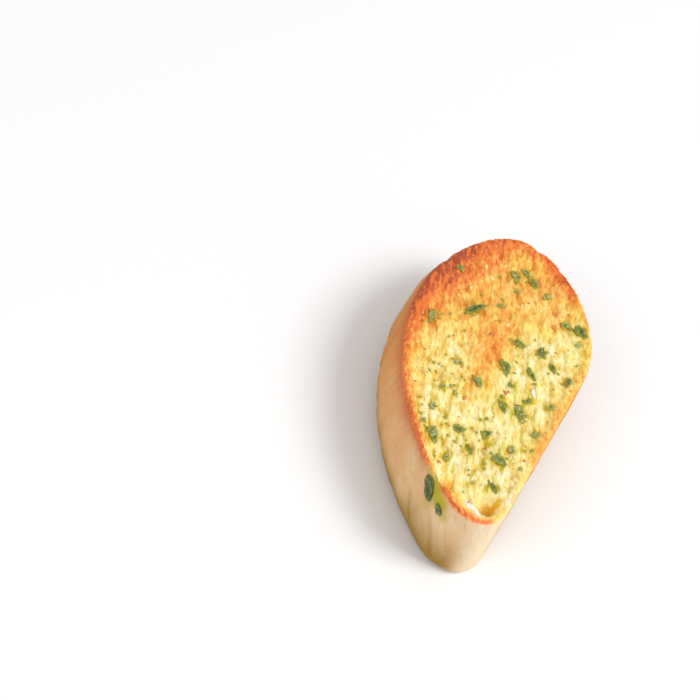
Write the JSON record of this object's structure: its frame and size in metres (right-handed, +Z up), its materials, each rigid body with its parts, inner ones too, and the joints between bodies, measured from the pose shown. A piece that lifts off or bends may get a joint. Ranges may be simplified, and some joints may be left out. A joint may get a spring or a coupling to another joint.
{
  "type": "garlic bread slice",
  "caption": "Thick slice of toasted garlic bread with a browned rim, buttery crumb, chopped parsley and garlic bits, lying on its plain cut face.",
  "frame": {"origin": "the middle of the slice's outline, on the cut face that it rests on", "axes": "+Z up out of the toasted face; +X along the loaf's width towards its wide end; +Y from the loaf's flat bottom to the top of its dome"},
  "size_m": [0.1164, 0.0634, 0.0291],
  "materials": {
    "toasted_bread": "matte",
    "parsley": "satin",
    "garlic": "satin",
    "spice_flakes": "matte"
  },
  "bodies": {
    "root": {"garlic_bread_slice": "toasted_bread"}
  },
  "joints": []
}
